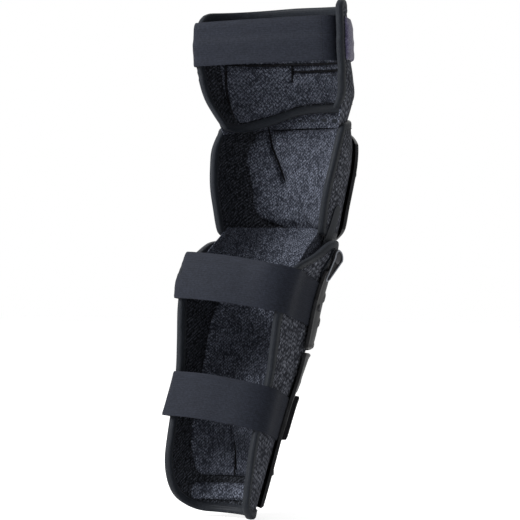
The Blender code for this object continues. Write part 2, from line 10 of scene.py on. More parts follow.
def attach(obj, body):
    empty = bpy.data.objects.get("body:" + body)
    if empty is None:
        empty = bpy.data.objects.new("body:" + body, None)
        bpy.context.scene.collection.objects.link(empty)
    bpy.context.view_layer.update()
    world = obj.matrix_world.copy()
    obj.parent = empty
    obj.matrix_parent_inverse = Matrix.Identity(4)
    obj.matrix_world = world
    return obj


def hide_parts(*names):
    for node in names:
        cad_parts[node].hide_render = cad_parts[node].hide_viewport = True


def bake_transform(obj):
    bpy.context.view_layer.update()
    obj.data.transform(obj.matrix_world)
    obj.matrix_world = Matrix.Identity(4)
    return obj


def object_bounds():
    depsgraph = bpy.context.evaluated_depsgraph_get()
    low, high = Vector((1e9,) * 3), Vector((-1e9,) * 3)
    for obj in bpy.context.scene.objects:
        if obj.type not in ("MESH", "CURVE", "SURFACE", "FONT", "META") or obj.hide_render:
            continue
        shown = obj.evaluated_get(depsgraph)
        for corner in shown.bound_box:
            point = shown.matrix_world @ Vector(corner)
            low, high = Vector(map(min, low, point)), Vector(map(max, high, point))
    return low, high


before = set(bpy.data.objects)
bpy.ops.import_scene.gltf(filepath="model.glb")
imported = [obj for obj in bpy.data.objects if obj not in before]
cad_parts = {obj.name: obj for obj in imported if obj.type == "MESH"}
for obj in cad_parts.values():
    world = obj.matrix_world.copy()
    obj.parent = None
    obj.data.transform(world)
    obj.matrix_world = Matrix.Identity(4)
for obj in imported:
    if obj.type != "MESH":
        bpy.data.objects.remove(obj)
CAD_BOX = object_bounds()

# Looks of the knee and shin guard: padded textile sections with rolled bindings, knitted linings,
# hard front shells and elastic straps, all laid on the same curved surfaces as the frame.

# --- Dimensions shared with the frame ---

FOOT_LEVEL = -0.320
NOSE_POWER = 2.4
THIGH_STATIONS = (
    (0.360, 0.0618, 0.053, 0.008, 0.052),
    (0.378, 0.0638, 0.058, 0.006, 0.053),
    (0.390, 0.0702, 0.066, 0.002, 0.058),
    (0.404, 0.0780, 0.071, -0.001, 0.066),
    (0.424, 0.0822, 0.064, -0.007, 0.070),
    (0.450, 0.0838, 0.054, -0.0118, 0.072),
    (0.475, 0.0836, 0.052, -0.0118, 0.072),
    (0.500, 0.0815, 0.050, -0.0100, 0.070),
)
KNEE_STATIONS = (
    (0.240, 0.0568, 0.050, -0.004, 0.048),
    (0.262, 0.0578, 0.057, -0.006, 0.050),
    (0.274, 0.0607, 0.063, -0.008, 0.055),
    (0.294, 0.0640, 0.067, -0.0093, 0.058),
    (0.316, 0.0680, 0.071, -0.0086, 0.061),
    (0.336, 0.0710, 0.075, -0.0040, 0.064),
    (0.356, 0.0727, 0.076, 0.0024, 0.065),
    (0.372, 0.0718, 0.076, 0.0120, 0.066),
    (0.390, 0.0712, 0.074, 0.0180, 0.066),
)
SHIN_STATIONS = (
    (0.000, 0.0465, -0.088, -0.134, 0.042),
    (0.040, 0.0478, -0.067, -0.127, 0.043),
    (0.074, 0.0484, -0.047, -0.118, 0.044),
    (0.104, 0.0503, -0.031, -0.1066, 0.045),
    (0.134, 0.0523, -0.010, -0.0968, 0.047),
    (0.164, 0.0540, 0.009, -0.0922, 0.049),
    (0.194, 0.0563, 0.020, -0.0876, 0.051),
    (0.214, 0.0585, 0.027, -0.0818, 0.052),
    (0.232, 0.0628, 0.033, -0.0775, 0.053),
    (0.246, 0.0690, 0.041, -0.0740, 0.054),
    (0.264, 0.0700, 0.045, -0.0700, 0.055),
)
WALL = 0.0045
SHIN_WALL = 0.0028
TAPE_WIDTH = 0.0100
SHIN_TAPE_WIDTH = 0.0090
ROLL = 0.0038
LAYER = 0.0009
SHELL_INSIDE = 0.0037
SHELL_OUTSIDE = 0.0061
THIGH_CORNER_RISE = 0.0062
FOOT_SLANT = 0.0034
STRAP_THICKNESS = 0.0019
STRAP_REACH = ROLL + 0.0020 + STRAP_THICKNESS / 2
FLANK_OFFSET = 0.0046


def curve(at, places, values):
    """A cubic curve through the given values, held constant beyond both ends."""
    places = np.asarray(places, float)
    values = np.asarray(values, float)
    at = np.clip(at, places[0], places[-1])
    slopes = np.gradient(values, places)
    k = np.clip(np.searchsorted(places, at, side="right") - 1, 0, len(places) - 2)
    step = places[k + 1] - places[k]
    t = (at - places[k]) / step
    start = (1 + 2 * t) * (1 - t) ** 2 * values[k] + t * (1 - t) ** 2 * step * slopes[k]
    end = t * t * (3 - 2 * t) * values[k + 1] + t * t * (t - 1) * step * slopes[k + 1]
    return start + end


def ease(value, low, high):
    """0 below low, 1 above high and smooth between them."""
    t = np.clip((value - low) / (high - low), 0.0, 1.0)
    return t * t * (3 - 2 * t)


def unit(vectors):
    """The same directions, each of length one."""
    return vectors / np.linalg.norm(vectors, axis=-1, keepdims=True)


def round_angles(count):
    """Evenly spaced angles round a full turn."""
    return np.linspace(0.0, 2 * math.pi, count, endpoint=False)


def shares(rows, columns):
    """Shares from 0 to 1 across and up a grid."""
    return np.linspace(0.0, 1.0, columns)[None, :], np.linspace(0.0, 1.0, rows)[:, None]


class Section:
    """The U-shaped surface of one section, tabulated over height and turn."""

    ROWS = 200
    TURNS = 181

    def __init__(self, stations):
        columns = np.array(stations).T
        self.heights = np.linspace(columns[0][0], columns[0][-1], self.ROWS)
        width, front, rear, nose = (curve(self.heights, columns[0], c) for c in columns[1:])
        self.width, self.centre, self.rear, self.nose = width, front - nose, rear, nose
        shape = (self.ROWS, self.TURNS)
        self.sine, self.cosine, self.straight = np.zeros(shape), np.zeros(shape), np.zeros(shape)
        self.girth = np.zeros(self.ROWS)
        share = np.linspace(0.0, 1.0, self.TURNS)
        for r in range(self.ROWS):
            angles = np.linspace(0.0, math.pi / 2, 121)
            across = width[r] * np.sin(angles) ** (2 / NOSE_POWER)
            ahead = self.centre[r] + nose[r] * np.cos(angles) ** (2 / NOSE_POWER)
            keep = ahead >= rear[r]
            angles, across, ahead = angles[keep], across[keep], ahead[keep]
            tail = np.zeros(len(angles))
            if rear[r] < self.centre[r]:
                angles = np.append(angles, math.pi / 2)
                across = np.append(across, width[r])
                ahead = np.append(ahead, rear[r])
                tail = np.append(tail, rear[r] - self.centre[r])
            girth = np.append(0.0, np.cumsum(np.hypot(np.diff(across), np.diff(ahead))))
            along = share * girth[-1]
            angle = np.interp(along, girth, angles)
            self.sine[r] = np.sin(angle) ** (2 / NOSE_POWER)
            self.cosine[r] = np.clip(np.cos(angle), 0.0, 1.0) ** (2 / NOSE_POWER)
            self.straight[r] = np.interp(along, girth, tail)
            self.girth[r] = girth[-1]

    def at(self, table, turn, height):
        """A tabulated value between its rows and columns."""
        span = self.heights[-1] - self.heights[0]
        row = np.clip((height - self.heights[0]) / span, 0.0, 1.0) * (self.ROWS - 1)
        column = np.clip(np.abs(turn), 0.0, 1.0) * (self.TURNS - 1)
        r = np.minimum(row.astype(int), self.ROWS - 2)
        c = np.minimum(column.astype(int), self.TURNS - 2)
        u, v = row - r, column - c
        near = table[r, c] * (1 - v) + table[r, c + 1] * v
        far = table[r + 1, c] * (1 - v) + table[r + 1, c + 1] * v
        return near * (1 - u) + far * u

    def points(self, turn, height, offset=0.0):
        """World positions at a turn from -1 (right rear edge) to 1 (left rear edge)."""
        turn, height, offset = np.broadcast_arrays(
            np.asarray(turn, float), np.asarray(height, float), np.asarray(offset, float))
        width, centre, nose = (np.interp(height, self.heights, v)
                               for v in (self.width, self.centre, self.nose))
        across = (width + offset) * self.at(self.sine, turn, height)
        ahead = centre + (nose + offset) * self.at(self.cosine, turn, height)
        ahead = ahead + self.at(self.straight, turn, height)
        return np.stack([np.where(turn < 0, -across, across), -ahead, height + FOOT_LEVEL], -1)

    def point(self, turn, height, offset=0.0):
        return Vector([float(v) for v in self.points(turn, height, offset)])

    def half_girth(self, height):
        return float(np.interp(height, self.heights, self.girth))


THIGH = Section(THIGH_STATIONS)
KNEE = Section(KNEE_STATIONS)
SHIN = Section(SHIN_STATIONS)

# --- Rims ---


def rounded_drop(distance, radius):
    """How far a rim retreats at a distance from a vertical edge, round a corner."""
    reach = np.clip(radius ** 2 - (radius - np.minimum(distance, radius)) ** 2, 0.0, None)
    return radius - np.sqrt(reach)


def thigh_low(turn):
    places = (-1.0, -0.60, -0.20, 0.0, 0.36, 0.75, 1.0)
    return curve(turn, places, (0.392, 0.3905, 0.3925, 0.3915, 0.3804, 0.3727, 0.376))


def thigh_high(turn):
    distance = (1 - np.abs(turn)) * THIGH.half_girth(0.499)
    raised = THIGH_CORNER_RISE * ease(-turn, 0.66, 0.84)
    corner = rounded_drop(distance, np.where(turn > 0, 0.017, 0.010))
    return 0.499 - 0.006 * np.abs(turn) ** 1.5 + raised - corner


def knee_low(turn):
    return 0.257 + 0.011 * turn * turn


def knee_high(turn):
    return 0.388 - 0.010 * turn * turn


def shin_low(turn):
    distance = (1 - np.abs(turn)) * SHIN.half_girth(0.020)
    slant = FOOT_SLANT * np.clip((0.55 - turn) / 1.5, 0.0, 1.0)
    return rounded_drop(distance, np.where(turn > 0, 0.062, 0.021)) - slant


def shin_high(turn):
    places = (0.0, 0.32, 0.44, 0.58, 0.78, 0.92, 1.0)
    return curve(np.abs(turn), places, (0.252, 0.252, 0.261, 0.262, 0.248, 0.239, 0.230))


# --- Materials ---

ONE_BAND = 0.31
RIB_SLANT = 0.5


class Nodes:
    """Short names for the nodes of one material."""

    def __init__(self, name):
        self.material = bpy.data.materials.new(name)
        self.material.use_nodes = True
        self.tree = self.material.node_tree
        self.shader = self.tree.nodes["Principled BSDF"]

    def add(self, kind, inputs=(), **settings):
        node = self.tree.nodes.new(kind)
        for key, value in settings.items():
            setattr(node, key, value)
        for key, value in dict(inputs).items():
            if isinstance(value, bpy.types.NodeSocket):
                self.tree.links.new(value, node.inputs[key])
            else:
                node.inputs[key].default_value = value
        return node

    def place(self):
        """Texture position on the piece, in metres."""
        return self.add("ShaderNodeTexCoord").outputs["Object"]

    def cells(self, place, randomness, scale=1.0):
        return self.add("ShaderNodeTexVoronoi", {
            "Vector": place, "Scale": scale, "Randomness": randomness}).outputs

    def bands(self, place, direction, distortion, detail, detail_scale=1.0):
        """Waves that repeat once for each unit of place."""
        return self.add("ShaderNodeTexWave", {
            "Vector": place, "Scale": ONE_BAND, "Distortion": distortion, "Detail": detail,
            "Detail Scale": detail_scale}, bands_direction=direction).outputs["Fac"]

    def cloth_place(self, period_u, period_v, turn=0.0):
        """Texture position along the cloth, counted in threads."""
        place = self.add("ShaderNodeUVMap").outputs[0]
        mapping = self.add("ShaderNodeMapping", {"Vector": place, "Rotation": (0, 0, turn)})
        scale = self.add("ShaderNodeMapping", {
            "Vector": mapping.outputs[0], "Scale": (1 / period_u, 1 / period_v, 1.0)})
        return scale.outputs[0]

    def math(self, operation, a, b=0.0):
        return self.add("ShaderNodeMath", {0: a, 1: b}, operation=operation).outputs[0]

    def ramp(self, value, low, high):
        node = self.add("ShaderNodeMapRange", {"Value": value, "From Min": low, "From Max": high})
        return node.outputs["Result"]

    def mix(self, share, a, b):
        node = self.add("ShaderNodeMix", {"Factor": share}, data_type="RGBA")
        for socket, value in zip((node.inputs[6], node.inputs[7]), (a, b)):
            if isinstance(value, bpy.types.NodeSocket):
                self.tree.links.new(value, socket)
            else:
                socket.default_value = (*value, 1.0)
        return node.outputs[2]

    def noise(self, place, scale, detail=2.0, rough=0.5):
        return self.add("ShaderNodeTexNoise", {
            "Vector": place, "Scale": scale, "Detail": detail, "Roughness": rough}).outputs[0]

    def bump(self, height, strength, distance):
        return self.add("ShaderNodeBump", {
            "Height": height, "Strength": strength, "Distance": distance}).outputs[0]

    def finish(self, colour, roughness, normal=None, sheen=0.0, metallic=0.0, gloss=0.15):
        for key, value in (("Base Color", colour), ("Roughness", roughness), ("Normal", normal)):
            if isinstance(value, bpy.types.NodeSocket):
                self.tree.links.new(value, self.shader.inputs[key])
            elif value is not None:
                self.shader.inputs[key].default_value = (*value, 1.0) if key == "Base Color" else value
        for key, value in (("Sheen Weight", sheen), ("Sheen Roughness", 0.5), ("Metallic", metallic),
                           ("Specular IOR Level", gloss)):
            self.shader.inputs[key].default_value = value
        return self.material


def knit(name, dark, light, stitch_size, turn):
    """Knitted spacer mesh: dense slanting rows of pale stitches over a dark ground."""
    n = Nodes(name)
    place = n.cloth_place(stitch_size, stitch_size * 2.8, turn)
    wobble = n.noise(n.cloth_place(0.014, 0.014), 1.0, 2.0)
    shifted = n.add("ShaderNodeVectorMath", {0: place, 1: wobble}, operation="ADD").outputs[0]
    cells = n.cells(shifted, 0.55)
    stitch = n.ramp(cells["Distance"], 0.62, 0.06)
    each = n.ramp(cells["Color"], 0.05, 0.95)
    patchy = n.ramp(n.noise(n.cloth_place(0.016, 0.022), 1.0, 4.0, 0.6), 0.20, 0.75)
    lit = n.math("MULTIPLY", n.math("POWER", stitch, 1.4), n.math("ADD", each, 0.30))
    share = n.math("MULTIPLY", lit, n.math("ADD", n.math("MULTIPLY", patchy, 0.4), 0.65))
    normal = n.bump(stitch, 0.9, 0.0006)
    return n.finish(n.mix(share, dark, light), 0.85, normal, sheen=0.02)


def ribbed_shaded(name, dark, light, period):
    """Mesh with slanting ribs, for the side walls; the dark tones it is given there and for the crease
    cords are painted shade.
    """
    n = Nodes(name)
    wave = n.bands(n.cloth_place(period, period, RIB_SLANT), "Y", 1.6, 3.0, 1.5)
    stitch = n.ramp(n.cells(n.cloth_place(0.0015, 0.0024, RIB_SLANT), 0.6)["Distance"], 0.65, 0.10)
    share = n.math("MULTIPLY", n.math("ADD", n.math("MULTIPLY", wave, 0.75), 0.25), stitch)
    normal = n.bump(n.math("ADD", wave, stitch), 0.8, 0.0004)
    return n.finish(n.mix(share, dark, light), 0.85, normal, sheen=0.0)


def woven(name, dark, light, thread, roughness, sheen):
    """Flat woven tape, with fine threads both ways and a little uneven colour."""
    n = Nodes(name)
    weave = n.math("MULTIPLY", *(n.bands(n.cloth_place(size, size), direction, 1.5, 1.0)
                                 for direction, size in (("X", thread), ("Y", thread * 1.3))))
    uneven = n.noise(n.cloth_place(0.016, 0.006), 1.0, 4.0, 0.6)
    grain = n.ramp(n.noise(n.cloth_place(0.0030, 0.0017), 1.0, 3.0, 0.75), 0.30, 0.72)
    share = n.math("ADD", n.math("MULTIPLY", uneven, 0.35), n.math("MULTIPLY", grain, 0.50))
    share = n.math("ADD", share, n.math("MULTIPLY", weave, 0.15))
    normal = n.bump(n.math("ADD", weave, grain), 0.7, 0.00012)
    return n.finish(n.mix(share, dark, light), roughness, normal, sheen=sheen)


def moulded(name, dark, light, roughness, relief=0.00010):
    """Black moulded plastic: fine texture, faint mottling and rubbed patches."""
    n = Nodes(name)
    place = n.place()
    mottle = n.noise(place, 55.0, 5.0, 0.62)
    rubbed = n.ramp(n.noise(place, 24.0, 6.0, 0.7), 0.60, 0.72)
    grain = n.noise(place, 2600.0, 2.0)
    share = n.math("ADD", n.math("MULTIPLY", n.ramp(mottle, 0.35, 0.7), 0.35),
                   n.math("MULTIPLY", rubbed, 0.45))
    rough = n.math("ADD", n.math("MULTIPLY", mottle, 0.25), roughness - 0.12)
    return n.finish(n.mix(share, dark, light), rough, n.bump(grain, 0.6, relief), gloss=0.28)


def pile(name, dark, light):
    """Brushed loop pile, fuzzy and unevenly coloured."""
    n = Nodes(name)
    place = n.place()
    fuzz = n.noise(place, 900.0, 4.0, 0.7)
    tufts = n.noise(place, 260.0, 3.0, 0.6)
    share = n.math("MULTIPLY", n.ramp(fuzz, 0.35, 0.75), n.ramp(tufts, 0.2, 0.7))
    normal = n.bump(n.math("ADD", fuzz, tufts), 1.0, 0.0008)
    return n.finish(n.mix(share, dark, light), 0.95, normal, sheen=0.5)


def hooks(name, dark, light):
    """Hook tape: a dense grid of tiny moulded hooks."""
    n = Nodes(name)
    tips = n.ramp(n.cells(n.place(), 0.3, 700.0)["Distance"], 0.6, 0.1)
    colour = n.mix(n.math("MULTIPLY", tips, 0.5), dark, light)
    return n.finish(colour, 0.6, n.bump(tips, 0.8, 0.0004))


def metal(name, dark, light):
    """Dark turned metal with fine marks."""
    n = Nodes(name)
    marks = n.noise(n.place(), 800.0, 3.0)
    return n.finish(n.mix(marks, dark, light), n.ramp(marks, -1.0, 3.0), n.bump(marks, 0.3, 0.00005),
                    metallic=0.9)


LOOK = {
    "lining": knit("lining_knit", (0.018, 0.021, 0.031), (0.40, 0.44, 0.56), 0.00105, 0.6),
    "outer": knit("outer_knit", (0.016, 0.018, 0.025), (0.36, 0.38, 0.45), 0.0014, 0.4),
    # The walls' inner skin: real ribs, in a tone darkened as painted shade.
    "ribbed_shaded": ribbed_shaded("side_knit_painted_shade", (0.004, 0.005, 0.007), (0.130, 0.142, 0.175), 0.0032),
    # Near-black mesh for the cords laid in creases and seams: painted crease shade.
    "crease": ribbed_shaded("painted_crease_shade", (0.002, 0.002, 0.003), (0.020, 0.022, 0.030), 0.0042),
    "binding": woven("binding_tape", (0.005, 0.007, 0.010), (0.030, 0.035, 0.046), 0.0009, 0.50, 0.05),
    "webbing": woven("elastic_webbing", (0.003, 0.004, 0.007), (0.028, 0.033, 0.050), 0.0016, 0.75, 0.04),
    "thread": woven("thread", (0.010, 0.011, 0.016), (0.060, 0.064, 0.080), 0.0004, 0.6, 0.0),
    "shell": moulded("shell_plastic", (0.004, 0.004, 0.005), (0.070, 0.072, 0.082), 0.42),
    # Pale rim round the pivot ears: its own pale colour, raised further as a painted highlight.
    "pale": moulded("pale_rim_and_painted_highlight", (0.26, 0.28, 0.32), (0.52, 0.54, 0.58), 0.50),
    "pile": pile("loop_pile", (0.040, 0.034, 0.085), (0.32, 0.30, 0.46)),
    "hooks": hooks("hook_tape", (0.006, 0.006, 0.008), (0.030, 0.030, 0.036)),
    "metal": metal("rivet_metal", (0.04, 0.04, 0.045), (0.14, 0.14, 0.15)),
    "foam": moulded("foam", (0.006, 0.006, 0.008), (0.03, 0.03, 0.035), 0.9, 0.0004),
}

# --- Mesh building ---

STITCH_SPACING = 0.0038
SHADE_CORD_SPACING = 0.0012
TAPE_SPACING = 0.0025


def linked(name, data):
    """A new object in the scene."""
    made = bpy.data.objects.new(name, data)
    bpy.context.scene.collection.objects.link(made)
    return made


def new_piece(name, vertices, faces, looks, places, choice=None, sharp=45):
    """A mesh piece. places gives each vertex's position on the cloth, and choice each face's look."""
    data = bpy.data.meshes.new(name)
    data.from_pydata([tuple(float(c) for c in v) for v in vertices], [], faces)
    for look in looks:
        data.materials.append(LOOK[look])
    if choice is not None:
        data.polygons.foreach_set("material_index", np.asarray(choice, np.int32))
    layer = data.uv_layers.new(name="Cloth")
    corners = np.zeros(len(data.loops), np.int32)
    data.loops.foreach_get("vertex_index", corners)
    layer.data.foreach_set("uv", np.asarray(places, np.float32)[corners].ravel())
    data.validate()
    outwards(data)
    data.shade_smooth()
    data.set_sharp_from_angle(angle=math.radians(sharp))
    return linked(name, data)


def outwards(data):
    """Turns every face of the mesh outwards."""
    mesh = bmesh.new()
    mesh.from_mesh(data)
    bmesh.ops.recalc_face_normals(mesh, faces=mesh.faces)
    mesh.to_mesh(data)
    mesh.free()


def grid_faces(rows, columns, start=0, close=False):
    """Quads of a grid of vertices; close joins the last column to the first."""
    across = columns if close else columns - 1
    made = []
    for r in range(rows - 1):
        for c in range(across):
            d = (c + 1) % columns
            a, b = start + r * columns, start + (r + 1) * columns
            made.append((a + c, a + d, b + d, b + c))
    return made


def slab(name, outer, inner, looks, places):
    """A closed solid between two matching grids. The second look, if any, is the inner skin's."""
    rows, columns = outer.shape[:2]
    count = rows * columns
    vertices = np.concatenate([outer.reshape(-1, 3), inner.reshape(-1, 3)])
    faces = grid_faces(rows, columns) + grid_faces(rows, columns, count)
    skins = len(faces) // 2
    rim = (list(range(columns)) + [r * columns + columns - 1 for r in range(1, rows)]
           + [(rows - 1) * columns + c for c in range(columns - 2, -1, -1)]
           + [r * columns for r in range(rows - 2, 0, -1)])
    for k, a in enumerate(rim):
        b = rim[(k + 1) % len(rim)]
        faces.append((a, b, b + count, a + count))
    choice = np.zeros(len(faces), int)
    if len(looks) > 1:
        choice[skins:] = 1
    flat = places.reshape(-1, 2)
    return new_piece(name, vertices, faces, looks, np.concatenate([flat, flat]), choice)


def swept(name, rings, look, closed, girth, spacing, sharp=60):
    """A tube through rings of points, closed on itself or with flat ends.

    girth and spacing say how large a ring and a step between rings are on the cloth.
    """
    count, sides = rings.shape[:2]
    faces = grid_faces(count, sides, close=True)
    if closed:
        last = (count - 1) * sides
        faces += [(last + k, last + (k + 1) % sides, (k + 1) % sides, k) for k in range(sides)]
    else:
        faces += [tuple(range(sides)), tuple((count - 1) * sides + k for k in range(sides))]
    along = np.repeat(np.arange(count) * spacing, sides)
    across = np.tile(np.linspace(0, girth, sides), count)
    places = np.stack([along, across], -1)
    return new_piece(name, rings.reshape(-1, 3), faces, [look], places, sharp=sharp)


def evenly(path, count):
    """The given number of evenly spaced points along a polyline."""
    lengths = np.linalg.norm(np.diff(path, axis=0), axis=1)
    at = np.append(0.0, np.cumsum(lengths))
    places = np.linspace(0.0, at[-1], count)
    return np.stack([np.interp(places, at, path[:, k]) for k in range(path.shape[1])], -1)


def resample(path, spacing, closed=False):
    """Points along a polyline, as near to the spacing as even steps allow."""
    if closed:
        path = np.concatenate([path, path[:1]])
    length = float(np.linalg.norm(np.diff(path, axis=0), axis=1).sum())
    made = evenly(path, max(int(round(length / spacing)), 3) + 1)
    return made[:-1] if closed else made


def relaxed(path, passes, closed):
    """The path with its corners rounded by repeated averaging."""
    for _ in range(passes):
        if closed:
            path = (np.roll(path, 1, 0) + 2 * path + np.roll(path, -1, 0)) / 4
        else:
            middle = (path[:-2] + 2 * path[1:-1] + path[2:]) / 4
            path = np.concatenate([path[:1], middle, path[-1:]])
    return path


def stitches(name, places, directions, outs, body, length=0.0026, radius=0.00030):
    """Small raised stitches at the given points, as one piece."""
    vertices, faces, cloth = [], [], []
    sides = 5
    for place, along, out in zip(places, directions, outs):
        side = np.cross(along, out)
        base = len(vertices)
        for share, wide in ((-0.5, 0.3), (-0.3, 1.0), (0.3, 1.0), (0.5, 0.3)):
            for k in range(sides):
                angle = 2 * math.pi * k / sides
                spoke = math.cos(angle) * side + math.sin(angle) * out
                vertices.append(place + along * length * share + spoke * radius * wide)
                cloth.append((share * length, angle * radius))
        faces += grid_faces(4, sides, base, close=True)
        faces += [tuple(range(base, base + sides)), tuple(range(base + 3 * sides, base + 4 * sides))]
    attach(new_piece(name, vertices, faces, ["thread"], np.array(cloth)), body)


def stitch_line(name, section, line, offset, body, side=1):
    """Stitches along a line of (turn, height) points on a section."""
    girth = section.half_girth(float(line[:, 1].mean()))
    flat = resample(line * (girth, 1.0), STITCH_SPACING)
    middles = (flat[:-1] + flat[1:]) / 2 / (girth, 1.0)
    ends = flat / (girth, 1.0)
    centres = section.points(middles[:, 0], middles[:, 1], offset)
    outs = unit(section.points(middles[:, 0], middles[:, 1], offset + side * 0.001) - centres)
    directions = unit(np.diff(section.points(ends[:, 0], ends[:, 1], offset), axis=0))
    stitches(name, centres, directions, outs, body)


def shade_cord(name, section, line, offset, radius, body):
    """A thin dark cord laid along (turn, height) points of a section: painted shade that draws a crease.
    """
    girth = section.half_girth(float(np.mean([p[1] for p in line])))
    flat = relaxed(resample(np.array(line) * (girth, 1.0), SHADE_CORD_SPACING), 12, False)
    places = section.points(flat[:, 0] / girth, flat[:, 1], offset)
    along = unit(np.gradient(places, axis=0))
    out = unit(section.points(flat[:, 0] / girth, flat[:, 1], offset + 0.001) - places)
    side = np.cross(along, out)
    angles = round_angles(8)[None, :, None]
    taper = radius * np.sin(math.pi * np.linspace(0.04, 0.96, len(flat))) ** 0.3
    rings = places[:, None] + taper[:, None, None] * (np.cos(angles) * side[:, None]
                                                      + np.sin(angles) * out[:, None])
    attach(swept(name, rings, "crease", False, 0.006, SHADE_CORD_SPACING), body)


def laid(name, section, turn, height, skins, looks, girth, body, replaced):
    """A solid that follows a section between two offsets and rides one body."""
    outer, inner = (section.points(turn, height, offset) for offset in skins)
    made = slab(name, outer, inner, looks, np.stack([turn * girth, height], -1))
    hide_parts(*replaced)
    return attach(made, body)


# --- Walls and bindings ---

WALL_INSET = 0.0045


def wall(label, section, low, high, thickness, size):
    """One continuous padded wall, knitted outside, with slanting ribs inside whose darkened tone is
    painted shade.
    """
    edge = 1 - WALL_INSET / section.half_girth((low(0.0) + high(0.0)) / 2)
    rows, columns = size
    turns = np.linspace(-edge, edge, columns)
    share = np.linspace(0.0, 1.0, rows)[:, None]
    bottom, top = low(turns) + WALL_INSET, high(turns) - WALL_INSET
    height = bottom * (1 - share) + top * share
    turn = np.broadcast_to(turns, height.shape)
    swell = np.sin(math.pi * share) ** 0.5 * np.sin(math.pi * (turn / edge + 1) / 2) ** 0.3
    skins = (0.0006 * swell, -thickness - 0.0002 * swell)
    girth = section.half_girth(float(height.mean()))
    made = laid(label + "_wall", section, turn, height, skins, ["outer", "ribbed_shaded"], girth, label + "_body",
                [label + "_front_panel", label + "_wing_left", label + "_wing_right"])


def outline_loop(section, low, high):
    """The closed edge of a section as (along the girth, height) points, evenly spaced."""
    turns = np.linspace(-1, 1, 401)
    girth = section.half_girth(float((low(0.0) + high(0.0)) / 2))
    bottom = np.stack([turns, low(turns)], -1)
    top = np.stack([turns[::-1], high(turns[::-1])], -1)
    left = np.stack([np.ones(60), np.linspace(low(1.0), high(1.0), 60)], -1)[1:-1]
    right = np.stack([-np.ones(60), np.linspace(high(-1.0), low(-1.0), 60)], -1)[1:-1]
    loop = np.concatenate([bottom, left, top, right]) * (girth, 1.0)
    return relaxed(resample(loop, TAPE_SPACING, True), 5, True), girth


def tape_profile(width, thickness, sides):
    """Distances in from the edge and out from the wall's middle, round a folded tape."""
    angles = round_angles(sides)
    cosine, sine = np.cos(angles), np.sin(angles)
    depth = width / 2 * (1 - np.sign(cosine) * np.abs(cosine) ** 0.75)
    return depth, thickness * np.sign(sine) * np.abs(sine) ** 0.6 * (1 - 0.25 * depth / width)


def binding(label, section, low, high, wall_thickness, width):
    """The folded tape sewn round a section's whole edge, with its lines of stitches."""
    loop, girth = outline_loop(section, low, high)
    along = unit(np.roll(loop, -1, 0) - np.roll(loop, 1, 0))
    inward = np.stack([-along[:, 1], along[:, 0]], -1)
    depth, out = tape_profile(width, ROLL, 14)
    flat = loop[:, None, :] + inward[:, None, :] * depth[None, :, None]
    turn = np.clip(flat[..., 0] / girth, -1.0, 1.0)
    beyond = np.abs(flat[..., 0] / girth) - 1
    rings = section.points(turn, flat[..., 1], out[None, :] - wall_thickness / 2)
    rings[..., 1] += np.maximum(beyond, 0.0) * girth
    name, body = label + "_edge_tape", label + "_body"
    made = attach(swept(name, rings, "binding", True, 2.4 * width, TAPE_SPACING), body)
    seam = loop + inward * (width * 0.80)
    line = np.stack([np.clip(seam[:, 0] / girth, -1, 1), seam[:, 1]], -1)
    line = np.concatenate([line, line[:1]])
    half = ROLL * 0.80
    stitch_line(name + "_stitches_in", section, line, -wall_thickness / 2 - half, body, side=-1)
    stitch_line(name + "_stitches_out", section, line, -wall_thickness / 2 + half, body)
    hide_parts(*(label + "_binding_" + edge for edge in ("bottom", "left", "right", "top")))


# --- Pads ---

PAD_SPACING = 0.0026
PAD_SWELL_LIMIT = 0.003
CLOTH_STEPS = 20
CLOTH = {
    "quality": 5, "mass": 0.2, "tension_stiffness": 12, "compression_stiffness": 12,
    "shear_stiffness": 6, "bending_stiffness": 0.3, "use_pressure": True,
    "uniform_pressure_force": 4.0, "vertex_group_mass": "backing",
}


def inflate(made, pinned):
    """Swells a closed piece as cloth under pressure, with its backing held."""
    before = np.array([v.co for v in made.data.vertices])
    group = made.vertex_groups.new(name="backing")
    group.add([int(k) for k in pinned], 1.0, "REPLACE")
    cloth = made.modifiers.new("cloth", "CLOTH")
    for key, value in CLOTH.items():
        setattr(cloth.settings, key, value)
    cloth.settings.effector_weights.gravity = 0
    cloth.collision_settings.use_collision = False
    cloth.point_cache.frame_start = 1
    cloth.point_cache.frame_end = CLOTH_STEPS
    scene = bpy.context.scene
    for step in range(1, CLOTH_STEPS + 1):
        scene.frame_set(step)
        bpy.context.view_layer.update()
    seen = made.evaluated_get(bpy.context.evaluated_depsgraph_get())
    after = np.array([v.co for v in seen.data.vertices])
    made.modifiers.remove(cloth)
    made.vertex_groups.clear()
    move = after - before
    length = np.linalg.norm(move, axis=1, keepdims=True)
    move *= np.minimum(1.0, PAD_SWELL_LIMIT / np.maximum(length, 1e-9))
    made.data.vertices.foreach_set("co", (before + move).ravel())
    made.data.update()
    scene.frame_set(1)


